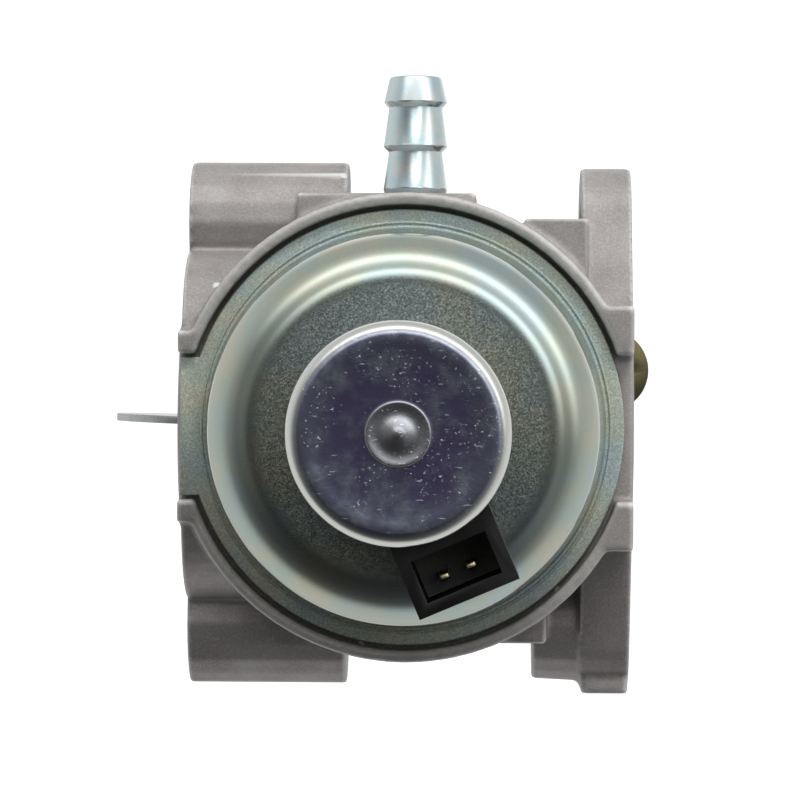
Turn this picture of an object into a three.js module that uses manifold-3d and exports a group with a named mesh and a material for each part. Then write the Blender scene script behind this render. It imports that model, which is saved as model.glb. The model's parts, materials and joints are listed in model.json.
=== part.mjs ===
// Single-barrel float-bowl carburettor with a fuel shut-off solenoid, in millimetres, +Z up.
// The origin is where the bore's axis meets the engine flange face. Air flows along +X, the float
// bowl hangs below on its own vertical axis, and the fuel inlet barb points along -Y.
import * as THREE from 'three';
import { mergeVertices } from 'three/addons/utils/BufferGeometryUtils.js';
import Module from 'manifold-3d';

const wasm = await Module();
wasm.setup();

const rim = 64; // sides of the skirt around the bowl
const fine = 44; // sides of the other large round forms
const medium = 20; // sides of shafts, bosses and holes
const small = 10; // sides of screws and jets
const past = 1; // how far a cutting tool runs past the face that it opens
const gap = 0.05; // what is left between two pieces that turn together
const right = Math.PI / 2;

const bore = { length: 57.5, choke: 15.3, throat: 9.5, throttle: 11.8, chokeEnd: -45, outer: 14.5 };
bore.throatFrom = -33;
bore.throatTo = -27;
bore.throttleFrom = -19;
const choke = { x: -52.5, plate: 15, thick: 1, turn: 1.75, screws: 6.5, low: -16.6, boss: 20.5 };
const throttle = { x: -12, plate: 11.5, thick: 1, turn: -100, screws: 5, low: -15.4, boss: 16.5 };
const shaft = { radius: 2.5, hole: 2.75, neck: 1.8, boss: 5.2, seal: 4.4, tapped: 1.3 };
choke.lever = 24.6;
throttle.lever = 22.3;
const lever = { thick: 1.4, hole: 2.1, head: 3, headHigh: 2.4, shank: 1 };
const stud = { y: 26, radius: 3.3 };

const bowl = { x: -29, flange: 27.6, thick: 1, seat: -18.3, top: -18.5, bottom: -42.5 };
bowl.ringRadius = 25.4; // where the flange bends down into the wall
bowl.bendRadius = 5.9; // at the foot of the wall
bowl.fillet = 0.4; // where the wall meets the flange
bowl.footRadius = 23.9; // the wall's outer radius where the foot bend starts
bowl.tab = { reach: 28.6, half: 8.75 };
bowl.hole = 4.1;
const skirt = { outer: 29.7, inner: 28.2, rim: -21, deck: -13, left: -57.85, right: -0.7 };
skirt.notch = 9.2;
const gasket = { outer: 26.9, inner: 24.7, top: -16.9, play: 0.3 };
const pillar = { radius: 6.2, end: -41.5, tapped: 3.6, step: -30, well: 2.2 };
const hinge = { y: -20, z: -21, pin: 0.75, hole: 0.95 };
const needle = { y: -15.5, radius: 1.5, low: -20.7, shoulder: -15.6, tip: -14.2 };
const inlet = { x: -28.1, z: -9.5, face: -29.8, tip: -45.1, stem: 2.6, bore: 1.9 };

const coilCan = { radius: 12.83, wall: 0.9, top: -44.3, end: -68.5, edge: 1.66 };
coilCan.window = { half: 4.6, low: -56.6, high: -48.4 };
const nose = { radius: 3.3, bore: 2.4, top: -32.5, shoulder: 8, seat: -43.3 };
const plug = { angle: Math.atan2(0.9205, 0.3907), outer: 20.9, half: 6.25, mouth: -58, top: -46.5 };
plug.cavity = { from: 14.3, to: 19.45, half: 4.65, ceiling: -48 };
plug.pin = { at: 17.4, apart: 3.4, half: [0.5, 0.7], low: -56.3, shoulder: -55.8 };

const idleScrew = { y: 8.2, z: 22.8, radius: 1.9, head: 3.4, headFrom: -33.5, headTo: -31 };
idleScrew.tip = -13.8;
idleScrew.post = { from: -25, to: -19, half: 3.5, top: 26.5 };
const mixture = { x: -24, y: -9, radius: 1.5, boss: 12.5, headLow: 17, headTop: 20.5, head: 3 };
const pilot = { x: -36, y: 8, radius: 1.8, boss: 14, top: 16, head: 2.6 };
const cupPlug = { x: -38, y: -6, radius: 3.4, boss: 15, floor: 13.6 };

const metal = (color, roughness) => new THREE.MeshStandardMaterial({ color, roughness, metalness: 1 });
const dull = (color, roughness) => new THREE.MeshStandardMaterial({ color, roughness, metalness: 0 });
const finish = {
  cast: metal('#aba7a2', 0.55),
  zinc: metal('#a9b5ae', 0.3),
  plated: metal('#c3cdd0', 0.22),
  yellow: metal('#a59a6a', 0.35),
  brass: metal('#c2a258', 0.3),
  copper: metal('#b06a3c', 0.35),
  steel: metal('#b9bab8', 0.3),
  plastic: dull('#161616', 0.5),
  rubber: dull('#1c1c1c', 0.8),
  nylon: dull('#d8d2c0', 0.6),
};

// ---- solids -------------------------------------------------------------------------------
function toSolid(geometry) {
  const bare = geometry.clone();
  bare.deleteAttribute('normal');
  bare.deleteAttribute('uv');
  const merged = mergeVertices(bare, 1e-4);
  const corners = merged.index.array;
  const kept = [];
  for (let i = 0; i < corners.length; i += 3) {
    const [a, b, c] = [corners[i], corners[i + 1], corners[i + 2]];
    if (a !== b && b !== c && c !== a) kept.push(a, b, c);
  }
  const vertProperties = Float32Array.from(merged.attributes.position.array);
  const mesh = new wasm.Mesh({ numProp: 3, vertProperties, triVerts: Uint32Array.from(kept) });
  return new wasm.Manifold(mesh);
}

function toGeometry(solid) {
  const mesh = solid.getMesh();
  const geometry = new THREE.BufferGeometry();
  geometry.setAttribute('position', new THREE.BufferAttribute(mesh.vertProperties, mesh.numProp));
  geometry.setIndex(new THREE.BufferAttribute(mesh.triVerts, 1));
  geometry.computeVertexNormals();
  return geometry;
}

const join = (...parts) => toGeometry(parts.map(toSolid).reduce((whole, part) => whole.add(part)));
const common = (first, second) => toGeometry(toSolid(first).intersect(toSolid(second)));
function cut(part, ...tools) {
  return toGeometry(tools.map(toSolid).reduce((whole, tool) => whole.subtract(tool), toSolid(part)));
}

// A solid of revolution about Z from [radius, height] points, on the axis at both ends or a ring.
function turned(profile, sides) {
  const area = profile.reduce((sum, [r, z], i) => {
    const [nextR, nextZ] = profile[(i + 1) % profile.length];
    return sum + r * nextZ - nextR * z;
  }, 0);
  const points = profile.map(([r, z]) => new THREE.Vector2(r, z));
  if (area < 0) points.reverse();
  if (profile[0][0] > 0) points.push(points[0].clone());
  return new THREE.LatheGeometry(points, sides).rotateX(right);
}

const rod = (radius, low, high, sides) =>
  turned([[0, low], [radius, low], [radius, high], [0, high]], sides);
const ring = (outer, inner, low, high, sides) =>
  turned([[inner, low], [outer, low], [outer, high], [inner, high]], sides);
const onZ = (geometry, x, y) => geometry.translate(x, y, 0);
const onX = (geometry, y, z) => geometry.rotateY(right).translate(0, y, z);
const onMinusY = (geometry, x, z) => geometry.rotateX(right).translate(x, 0, z);

function block(x, y, z) {
  const [wide, deep, high] = [x, y, z].map(([low, top]) => top - low);
  const middle = [x, y, z].map(([low, top]) => (low + top) / 2);
  return new THREE.BoxGeometry(wide, deep, high).translate(...middle);
}

// An outline drawn in the YZ plane, extruded along X between two places.
function sliceAlongX(shape, from, to) {
  const turn = new THREE.Matrix4().makeBasis(
    new THREE.Vector3(0, 1, 0), new THREE.Vector3(0, 0, 1), new THREE.Vector3(1, 0, 0));
  const options = { depth: to - from, bevelEnabled: false, curveSegments: 6 };
  return new THREE.ExtrudeGeometry(shape, options).applyMatrix4(turn).translate(from, 0, 0);
}

function plateAlongZ(shape, low, high) {
  const options = { depth: high - low, bevelEnabled: false, curveSegments: 6 };
  return new THREE.ExtrudeGeometry(shape, options).translate(0, 0, low);
}

// A round wire wound about Z, with flat-cut ends.
class Helix extends THREE.Curve {
  constructor(radius, low, high, turns) {
    super();
    Object.assign(this, { radius, low, high, turns });
  }

  getPoint(t, target = new THREE.Vector3()) {
    const angle = 2 * Math.PI * this.turns * t;
    const height = this.low + (this.high - this.low) * t;
    return target.set(this.radius * Math.cos(angle), this.radius * Math.sin(angle), height);
  }
}

function coil(radius, wire, low, high, turns) {
  const section = new THREE.Shape().absarc(0, 0, wire, 0, 2 * Math.PI, false);
  const path = new Helix(radius, low + wire, high - wire, turns);
  const options = { steps: Math.round(turns * 7), extrudePath: path, curveSegments: 3 };
  return new THREE.ExtrudeGeometry(section, { ...options, bevelEnabled: false });
}

// Two round ears either side of a round centre, joined by their tangents, in the YZ plane.
function earedOutline(centre, ear, reach) {
  const lean = Math.acos((centre - ear) / reach);
  const shape = new THREE.Shape();
  shape.absarc(0, 0, centre, lean, Math.PI - lean, false);
  shape.absarc(-reach, 0, ear, Math.PI - lean, Math.PI + lean, false);
  shape.absarc(0, 0, centre, Math.PI + lean, 2 * Math.PI - lean, false);
  shape.absarc(reach, 0, ear, -lean, lean, false);
  return shape;
}

function roundedOutline(halfWide, halfHigh, corner) {
  const [y, z] = [halfWide - corner, halfHigh - corner];
  const shape = new THREE.Shape();
  shape.absarc(y, z, corner, 0, right, false);
  shape.absarc(-y, z, corner, right, 2 * right, false);
  shape.absarc(-y, -z, corner, 2 * right, 3 * right, false);
  shape.absarc(y, -z, corner, 3 * right, 4 * right, false);
  return shape;
}

// ---- the casting ----------------------------------------------------------------------------
function bowlSkirt() {
  const round = onZ(rod(skirt.outer, skirt.rim, skirt.deck, rim), bowl.x, 0);
  const sides = block([skirt.left, skirt.right], [-40, 40], [skirt.rim - past, skirt.deck + past]);
  const band = [skirt.rim, skirt.deck];
  return join(
    common(round, sides),
    block([-12, -0.2], [-15.5, 15.5], band),
    block([skirt.left, -50], [-12.2, 12.2], band));
}

function chokeEnd() {
  const from = -bore.length;
  const land = turned([[0, from - 0.65], [17, from - 0.65], [22.2, from], [0, from]], fine);
  return join(
    sliceAlongX(roundedOutline(22.6, 19.5, 13), from, -42),
    onX(rod(8.3, from, -36.9, medium), -26.3, 0),
    onX(rod(8.3, from, -36.9, medium), 25.8, 0),
    onX(land, 0, 0));
}

function engineEnd() {
  const boss = turned([[0, -12.6], [7.3, -12.6], [7.8, -2], [0, -2]], medium);
  return join(
    sliceAlongX(earedOutline(17, 7.95, stud.y), -6.5, 0),
    onX(boss, stud.y, 0),
    block([-6.2, -0.1], [30, 34.9], [-5, 5]),
    block([-14, -6], [-26.6, -12], [-17, -6]),
    block([-17, -11], [12, 27.5], [-17, -6]));
}

function topBosses() {
  return join(
    onZ(rod(shaft.boss, 8, throttle.boss, medium), throttle.x, 0),
    onZ(rod(shaft.boss, 14, choke.boss, medium), choke.x, 0),
    onZ(rod(4.2, 4, mixture.boss, medium), mixture.x, mixture.y),
    onZ(rod(4.2, 4, pilot.boss, medium), pilot.x, pilot.y),
    onZ(rod(4.8, 4, cupPlug.boss, medium), cupPlug.x, cupPlug.y),
    block([idleScrew.post.from, idleScrew.post.to],
      [idleScrew.y - idleScrew.post.half, idleScrew.y + idleScrew.post.half], [8, idleScrew.post.top]));
}

function airPassage() {
  const [inside, outside] = [-bore.length - 1.7, past];
  return onX(turned([
    [0, inside], [17.2, inside], [bore.choke, -bore.length + 0.6], [bore.choke, bore.chokeEnd],
    [bore.throat, bore.throatFrom], [bore.throat, bore.throatTo],
    [bore.throttle, bore.throttleFrom], [bore.throttle, outside], [0, outside],
  ], fine), 0, 0);
}

function castingHoles() {
  const seat = bowl.seat;
  const open = skirt.rim - 3;
  const farSide = bowl.x * 2 - 2;
  return [
    airPassage(),
    ...[-stud.y, stud.y].map((y) => onX(rod(stud.radius, farSide, past, medium), y, 0)),
    onZ(rod(shaft.hole, throttle.low - 0.3, 20, medium), throttle.x, 0),
    onZ(rod(shaft.hole, choke.low - 0.3, 24, medium), choke.x, 0),
    block([farSide, -50], [-skirt.notch, skirt.notch], [open, seat]),
    block([-8, past], [-skirt.notch, skirt.notch], [open, seat]),
    onZ(ring(gasket.outer + gasket.play, gasket.inner - gasket.play, seat - past,
      gasket.top + gasket.play, fine), bowl.x, 0),
    onZ(rod(3.1, seat - past, -12.2, medium), bowl.x, needle.y),
    onZ(rod(1.2, -13, inlet.z, small), bowl.x, needle.y),
    onMinusY(rod(2, 14.5, 31, small), inlet.x, inlet.z),
    onMinusY(rod(inlet.stem + 0.25, 25.6, 31, medium), inlet.x, inlet.z),
    onX(rod(idleScrew.radius + 0.4, -27, -17, small), idleScrew.y, idleScrew.z),
    onZ(rod(mixture.radius + 0.3, 2, 14, small), mixture.x, mixture.y),
    onZ(rod(pilot.radius + 0.3, 8.5, 15, small), pilot.x, pilot.y),
    onZ(rod(cupPlug.radius + 0.2, cupPlug.floor, 16, medium), cupPlug.x, cupPlug.y),
    ...[-11.5, 11.5].map((y) => onX(rod(1.2, farSide, -50, small), y, -15.2)),
  ];
}

function pinPosts() {
  const posts = [-6.2, 3.2].map((x) => block([bowl.x + x, bowl.x + x + 3], [-21.8, -18.2], [-22.6, -17.5]));
  return cut(join(...posts), onX(rod(hinge.hole, -40, -20, small), hinge.y, hinge.z));
}

function mainPillar() {
  const { radius, end, tapped, step, well } = pillar;
  const post = turned([[0, end], [radius, end], [radius + 0.8, bowl.seat], [radius + 0.8, -16], [0, -16]],
    medium);
  return cut(onZ(post, bowl.x, 0),
    onZ(rod(tapped, end - past, step, medium), bowl.x, 0),
    onZ(rod(well, step - past, -15, medium), bowl.x, 0),
    block([bowl.x - 1, bowl.x + 1], [-10, 10], [-32.2, -30.2]));
}

function bodyCasting() {
  const barrel = onX(rod(bore.outer, -50, -3, fine), 0, 0);
  const inletBlock = block([-43.1, -20.2], [inlet.face, -8], [-17, -3]);
  const outside = join(chokeEnd(), barrel, engineEnd(), bowlSkirt(), inletBlock, topBosses());
  const cavity = onZ(rod(skirt.inner, skirt.rim - 3, bowl.seat, rim), bowl.x, 0);
  const hollowed = cut(outside, cavity, ...castingHoles());
  const well = onZ(rod(pillar.well, pillar.step, -8, medium), bowl.x, 0);
  return cut(join(hollowed, pinPosts(), mainPillar()), well);
}

// ---- the float bowl and what hangs in it ----------------------------------------------------
function arcPoints(centreR, centreZ, radius, fromDegrees, toDegrees, count) {
  return Array.from({ length: count + 1 }, (_, i) => {
    const angle = THREE.MathUtils.degToRad(fromDegrees + ((toDegrees - fromDegrees) * i) / count);
    return [centreR + radius * Math.cos(angle), centreZ + radius * Math.sin(angle)];
  });
}

// One surface of the pressed bowl, inset from its outer surface by the given depth.
function bowlSurface(inset) {
  const { ringRadius, fillet, bendRadius, footRadius, bottom, top, thick } = bowl;
  const underFlange = top - thick;
  return [
    ...arcPoints(ringRadius + fillet, underFlange - fillet, fillet + inset, 90, 176, 2),
    ...arcPoints(footRadius - bendRadius, bottom + bendRadius, bendRadius - inset, -3, -90, 5),
  ];
}

function floatBowl() {
  const { flange, hole, top, thick, tab, x } = bowl;
  const outside = [[flange, top - thick], ...bowlSurface(0), [hole, bowl.bottom]];
  const inside = [[hole, bowl.bottom + thick], ...bowlSurface(thick).reverse(), [flange, top]];
  const pressed = onZ(turned([...outside, ...inside], fine), x, 0);
  const left = x - tab.reach;
  return join(pressed, block([left, x - flange + 1.5], [-tab.half, tab.half], [top - thick, top]));
}

const bowlGasket = () =>
  onZ(ring(gasket.outer, gasket.inner, bowl.top, gasket.top, fine), bowl.x, 0);

function floatBody() {
  const arm = join(
    onX(rod(1.7, -31.6, -26.4, small), hinge.y, hinge.z),
    block([-31.6, -26.4], [hinge.y, -11], [-22.2, needle.low - 0.3]),
    block([-31.6, -26.4], [-13, -11], [-25, needle.low - 0.3]));
  const body = onZ(ring(20, 9, -34, -24.5, medium), bowl.x, 0);
  return cut(join(body, arm), onX(rod(hinge.hole, -40, -20, small), hinge.y, hinge.z));
}

const floatHingePin = () => onX(rod(hinge.pin, -35.8, -22.2, small), hinge.y, hinge.z);

function inletNeedle() {
  const { radius, low, shoulder, tip, y } = needle;
  return onZ(turned([[0, low], [radius, low], [radius, shoulder], [0.3, tip], [0, tip]], small), bowl.x, y);
}

function needleSeat() {
  const [low, high] = [bowl.seat, -12.4];
  return onZ(turned([[1.75, low], [2.9, low], [2.9, high], [0.9, high], [0.9, -14.6], [1.75, -14.6]],
    medium), bowl.x, needle.y);
}

// The barb's profile runs from its pressed-in end to its tip, as distances from the centre line.
function fuelInletBarb() {
  const { stem, bore: through, face, tip } = inlet;
  const from = -face;
  const profile = [
    [through, from - 4], [stem, from - 4], [stem, from], [3.95, from], [4.15, from + 0.8],
    [3.5, from + 5.2], [3.5, from + 5.6], [4.15, from + 6.3],
    [3.5, from + 10.9], [3.5, from + 11.3], [4.1, from + 12],
    [3.4, -tip - 0.3], [3.1, -tip], [through, -tip],
  ];
  return onMinusY(turned(profile, medium), inlet.x, inlet.z);
}

const mainJet = () => onZ(ring(2, 0.6, pillar.step, -28, small), bowl.x, 0);
const mainNozzle = () => onZ(ring(1.9, 1.1, -27.6, -4.2, small), bowl.x, 0);
const plugDisc = () =>
  onZ(rod(cupPlug.radius, cupPlug.floor, cupPlug.floor + 1, medium), cupPlug.x, cupPlug.y);

// ---- screws ---------------------------------------------------------------------------------
const slot = (reach, top) => block([-reach, reach], [-0.4, 0.4], [top - 0.8, top + past]);

function pilotJet() {
  const under = pilot.boss + gap;
  const jet = join(rod(pilot.radius, 9, under, small), rod(pilot.head, under, pilot.top, small));
  return onZ(cut(jet, slot(4, pilot.top)), pilot.x, pilot.y);
}

function mixtureScrew() {
  const { radius, headLow, headTop, head } = mixture;
  const stem = turned([[0, 5], [0.4, 5], [radius, 8], [radius, headLow], [head, headLow],
    [head, headTop], [0, headTop]], small);
  return onZ(cut(stem, slot(4, headTop)), mixture.x, mixture.y);
}

const mixtureSpring = () =>
  onZ(coil(2.05, 0.35, mixture.boss, mixture.headLow, 4), mixture.x, mixture.y);

// Built along Z with its head downwards, then laid along X.
function idleSpeedScrew() {
  const { radius, head, headFrom, headTo, tip, y, z } = idleScrew;
  const stem = turned([[0, headFrom], [head, headFrom], [head, headTo], [radius, headTo],
    [radius, tip - 0.5], [radius - 0.6, tip], [0, tip]], small);
  const groove = block([-4, 4], [-0.4, 0.4], [headFrom - past, headFrom + 0.9]);
  return onX(cut(stem, groove), y, z);
}

const idleSpeedSpring = () =>
  onX(coil(2.6, 0.35, idleScrew.headTo, idleScrew.post.from, 4), idleScrew.y, idleScrew.z);

// ---- the two butterfly valves -----------------------------------------------------------------
// Each valve is drawn about its own shaft with the plate in the XZ plane, then turned and placed.
const placeValve = (geometry, valve) =>
  geometry.rotateZ(THREE.MathUtils.degToRad(valve.turn)).translate(valve.x, 0, 0);

function valveShaft(valve) {
  const shoulder = valve.lever - gap;
  const end = valve.lever + lever.thick - 0.1;
  const body = turned([[0, valve.low], [shaft.radius, valve.low], [shaft.radius, shoulder],
    [shaft.neck, shoulder], [shaft.neck, end], [0, end]], medium);
  const reach = valve.plate + 0.3;
  const flat = block([-4, 4], [-4, gap], [-reach, reach]);
  const holes = [-valve.screws, valve.screws].map((z) =>
    rod(1.2, -1, 4, small).rotateX(-right).translate(0, 0, z));
  return placeValve(cut(body, flat, rod(shaft.tapped, valve.lever - 5, end + past, small), ...holes), valve);
}

function valvePlate(valve) {
  const disc = rod(valve.plate, -valve.thick, 0, fine).rotateX(-right);
  const holes = [-valve.screws, valve.screws].map((z) =>
    rod(1.2, -3, 3, small).rotateX(-right).translate(0, 0, z));
  return placeValve(cut(disc, ...holes), valve);
}

function plateScrew(valve, z) {
  const [under, top] = [-valve.thick - gap, -valve.thick - 1.1];
  const screw = turned([[0, top], [1.5, top], [2.2, under - 0.4], [2.2, under], [0.9, under],
    [0.9, 1.6], [0, 1.6]], small);
  const cross = block([-3, 3], [-0.3, 0.3], [top - past, top + 0.5]);
  return placeValve(cut(screw, cross).rotateX(-right).translate(0, 0, z), valve);
}

function leverScrew(valve) {
  const low = valve.lever + lever.thick + gap;
  const screw = turned([[0, low - 4], [lever.shank, low - 4], [lever.shank, low], [lever.head, low],
    [lever.head, low + 1.4], [1.8, low + lever.headHigh], [0, low + lever.headHigh]], small);
  return onZ(cut(screw, slot(4, low + lever.headHigh)), valve.x, 0);
}

const shaftSeal = (valve) =>
  onZ(ring(shaft.seal, shaft.hole - 0.1, valve.boss, valve.boss + 1.2, medium), valve.x, 0);

function returnSpring(valve) {
  const [low, high] = [valve.boss + 1.3, valve.lever - 0.15];
  return onZ(coil(3.6, 0.4, low, high, Math.floor((high - low) / 1.05)), valve.x, 0);
}

function armOutline(hub, reachX, reachY, end, holes) {
  const length = Math.hypot(reachX, reachY);
  const lean = Math.acos((hub - end) / length);
  const along = Math.atan2(reachY, reachX);
  const shape = new THREE.Shape();
  shape.absarc(0, 0, hub, along + lean, along - lean + 2 * Math.PI, false);
  shape.absarc(reachX, reachY, end, along - lean, along + lean, false);
  for (const [x, y, radius] of holes) {
    shape.holes.push(new THREE.Path().absarc(x, y, radius, 0, 2 * Math.PI, true));
  }
  return shape;
}

function chokeLever() {
  const outline = armOutline(4.6, 0, 16, 3.2, [[0, 0, lever.hole], [0, 16, 1.3]]);
  return onZ(plateAlongZ(outline, choke.lever, choke.lever + lever.thick), choke.x, 0);
}

function throttleLever() {
  const [low, high] = [throttle.lever, throttle.lever + lever.thick];
  const outline = armOutline(5, 10.1, -7.4, 5.7, [[0, 0, lever.hole], [10.1, -7.4, 1.6]]);
  const arm = plateAlongZ(outline, low, high);
  const tail = block([-1.7, 1.7], [3, 10.5], [low, high]);
  const tang = block([-1.7, -0.4], [6.2, 10.2], [low - 2.6, high + 2]);
  return onZ(join(arm, tail, tang), throttle.x, 0);
}

// ---- the shut-off solenoid --------------------------------------------------------------------
// Pieces beside the can are drawn with +X pointing out through the plug, then turned into place.
const besideCan = (geometry) => geometry.rotateZ(plug.angle).translate(bowl.x, 0, 0);

function solenoidCan() {
  const { radius, wall, top, end, edge, window } = coilCan;
  const outside = [[3.6, end], ...arcPoints(radius - edge, end + edge, edge, -90, 0, 4), [radius, top]];
  const inner = radius - wall;
  const inside = [[inner, top], [inner, end + edge], [inner - edge + wall, end + wall], [3.6, end + wall]];
  const shell = turned([...outside, ...inside], fine);
  return besideCan(cut(shell, block([9, 15], [-window.half, window.half], [window.low, window.high])));
}

const solenoidBase = () => onZ(turned([
  [nose.bore, -46.2], [11.7, -46.2], [11.7, -44.4], [nose.shoulder, -44.4], [nose.shoulder, nose.seat],
  [nose.radius, nose.seat], [nose.radius, nose.top], [nose.bore, nose.top],
], medium), bowl.x, 0);

const solenoidPole = () => onZ(turned([
  [0, -69.4], [0.9, -69.28], [2, -69], [3.1, -69.05], [3.8, -68.75], [3.8, coilCan.end],
  [3.3, coilCan.end], [3.3, -67.6], [4.6, -67.6], [4.6, -58.2], [0, -58.2],
], medium), bowl.x, 0);

const solenoidBobbin = () => onZ(turned([
  [4.9, -67.4], [11.2, -67.4], [11.2, -66.2], [6.2, -66.2], [6.2, -47.6], [11.2, -47.6],
  [11.2, -46.4], [4.9, -46.4],
], medium), bowl.x, 0);

const solenoidCoil = () => onZ(ring(10.6, 6.4, -66, -47.8, medium), bowl.x, 0);

const solenoidPlunger = () => onZ(turned([
  [1.9, -55.8], [4.4, -55.8], [4.4, -47], [1.6, -47], [1.6, -32], [0, -32], [0, -50.6], [1.9, -50.6],
], medium), bowl.x, 0);

const plungerTip = () => onZ(rod(2, -32, -30.1, small), bowl.x, 0);
const plungerSpring = () => onZ(coil(1.3, 0.25, -58.15, -50.65, 6), bowl.x, 0);
const solenoidGasket = () => onZ(ring(7.6, bowl.hole, nose.seat, bowl.bottom, medium), bowl.x, 0);

function solenoidConnector() {
  const { outer, half, mouth, top, cavity } = plug;
  const shell = cut(block([9, outer], [-half, half], [mouth, top]),
    rod(coilCan.radius + 0.3, mouth - past, top + past, rim),
    block([cavity.from, cavity.to], [-cavity.half, cavity.half], [mouth - past, cavity.ceiling]));
  const neck = block([11.5, 13.8], [-4.3, 4.3], [-56.3, -48.7]);
  return besideCan(join(shell, neck));
}

function terminalPin(side) {
  const { at, apart, half, low, shoulder } = plug.pin;
  const blade = block([-half[0], half[0]], [-half[1], half[1]], [shoulder, plug.cavity.ceiling - gap]);
  const tip = block([-half[0] + 0.2, half[0] - 0.2], [-half[1] + 0.2, half[1] - 0.2], [low, shoulder + gap]);
  return besideCan(join(blade, tip).translate(at, (side * apart) / 2, 0));
}

// ---- the assembly -----------------------------------------------------------------------------
const carburettor = new THREE.Group();
carburettor.name = 'carburettor';

function fit(name, geometry, material) {
  const mesh = new THREE.Mesh(toGeometry(toSolid(geometry)), material);
  mesh.name = name;
  carburettor.add(mesh);
}

fit('body_casting', bodyCasting(), finish.cast);
fit('float_bowl', floatBowl(), finish.zinc);
fit('bowl_gasket', bowlGasket(), finish.rubber);
fit('float', floatBody(), finish.nylon);
fit('float_hinge_pin', floatHingePin(), finish.steel);
fit('inlet_needle', inletNeedle(), finish.brass);
fit('needle_seat', needleSeat(), finish.brass);
fit('fuel_inlet_barb', fuelInletBarb(), finish.plated);
fit('main_jet', mainJet(), finish.brass);
fit('main_nozzle', mainNozzle(), finish.brass);
fit('pilot_jet', pilotJet(), finish.brass);
fit('cup_plug', plugDisc(), finish.steel);
fit('idle_mixture_screw', mixtureScrew(), finish.brass);
fit('mixture_screw_spring', mixtureSpring(), finish.steel);
fit('idle_speed_screw', idleSpeedScrew(), finish.plated);
fit('idle_speed_spring', idleSpeedSpring(), finish.steel);
for (const [name, valve] of [['choke', choke], ['throttle', throttle]]) {
  fit(`${name}_shaft`, valveShaft(valve), finish.steel);
  fit(`${name}_plate`, valvePlate(valve), finish.plated);
  fit(`${name}_plate_screw_1`, plateScrew(valve, -valve.screws), finish.brass);
  fit(`${name}_plate_screw_2`, plateScrew(valve, valve.screws), finish.brass);
  fit(`${name}_shaft_seal`, shaftSeal(valve), finish.rubber);
  fit(`${name}_return_spring`, returnSpring(valve), finish.steel);
  fit(`${name}_lever_screw`, leverScrew(valve), finish.plated);
}
fit('choke_lever', chokeLever(), finish.yellow);
fit('throttle_lever', throttleLever(), finish.yellow);
fit('solenoid_can', solenoidCan(), finish.zinc);
fit('solenoid_base', solenoidBase(), finish.zinc);
fit('solenoid_pole', solenoidPole(), finish.zinc);
fit('solenoid_bobbin', solenoidBobbin(), finish.nylon);
fit('solenoid_coil', solenoidCoil(), finish.copper);
fit('solenoid_plunger', solenoidPlunger(), finish.steel);
fit('plunger_tip', plungerTip(), finish.rubber);
fit('plunger_spring', plungerSpring(), finish.steel);
fit('solenoid_gasket', solenoidGasket(), finish.rubber);
fit('solenoid_connector', solenoidConnector(), finish.plastic);
fit('terminal_pin_1', terminalPin(-1), finish.brass);
fit('terminal_pin_2', terminalPin(1), finish.brass);

export default carburettor;
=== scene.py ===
import json
import math
import bpy
from mathutils import Matrix, Vector


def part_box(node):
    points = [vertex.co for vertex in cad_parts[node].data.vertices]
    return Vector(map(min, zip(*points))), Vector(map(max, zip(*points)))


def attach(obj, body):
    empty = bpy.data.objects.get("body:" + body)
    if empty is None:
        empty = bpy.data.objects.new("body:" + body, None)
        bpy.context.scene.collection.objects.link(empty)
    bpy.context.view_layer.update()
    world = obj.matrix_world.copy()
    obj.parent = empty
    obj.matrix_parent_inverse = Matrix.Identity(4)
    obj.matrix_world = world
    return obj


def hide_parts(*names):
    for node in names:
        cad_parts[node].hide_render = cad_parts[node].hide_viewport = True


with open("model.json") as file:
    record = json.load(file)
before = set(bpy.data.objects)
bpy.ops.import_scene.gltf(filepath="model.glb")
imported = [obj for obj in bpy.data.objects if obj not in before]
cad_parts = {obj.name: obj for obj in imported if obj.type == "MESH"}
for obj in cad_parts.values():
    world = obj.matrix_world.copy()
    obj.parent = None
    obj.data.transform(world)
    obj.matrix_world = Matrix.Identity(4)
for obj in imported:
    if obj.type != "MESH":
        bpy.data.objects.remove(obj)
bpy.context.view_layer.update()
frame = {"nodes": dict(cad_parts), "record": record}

mm = 0.001
nodes = frame["nodes"]
bodyOf = {node: body for body, members in frame["record"]["behaviour"]["bodies"].items() for node in members}
slotOf = {part["node"]: part["material_slot"] for part in frame["record"]["subparts"]}


def boxMm(node):
    low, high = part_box(node)
    return low / mm, high / mm


def middle(node):
    low, high = boxMm(node)
    return (low + high) / 2


bowlAt = middle("solenoid_coil")  # the bowl's own upright axis
chokeAt = middle("choke_shaft_seal")
throttleAt = middle("throttle_shaft_seal")
flangeZ = boxMm("bowl_gasket")[0].z  # top face of the bowl's flange


print("camera")
view = {
    "below": 441,  # from the bowl's flange down to the lens
    "side": (7.7, -6.67),  # from the bowl's axis
    "lean": (-0.01919, 0.0073),  # how far the aim leans from straight up
    "roll": -0.3,
    "lens": 156.6,
}


def addCamera():
    forward = Vector((view["lean"][0], view["lean"][1], 1)).normalized()
    up = Matrix.Rotation(math.radians(view["roll"]), 3, forward) @ Vector((0, -1, 0))
    right = forward.cross(up).normalized()
    up = right.cross(forward)
    camera = bpy.data.objects.new("camera", bpy.data.cameras.new("camera"))
    camera.data.lens = view["lens"]
    camera.data.clip_start = 0.01
    camera.data.clip_end = 50
    place = Vector((bowlAt.x + view["side"][0], view["side"][1], flangeZ - view["below"])) * mm
    camera.matrix_world = Matrix.Translation(place) @ Matrix((right, up, -forward)).transposed().to_4x4()
    bpy.context.scene.collection.objects.link(camera)
    bpy.context.scene.camera = camera


addCamera()


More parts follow.
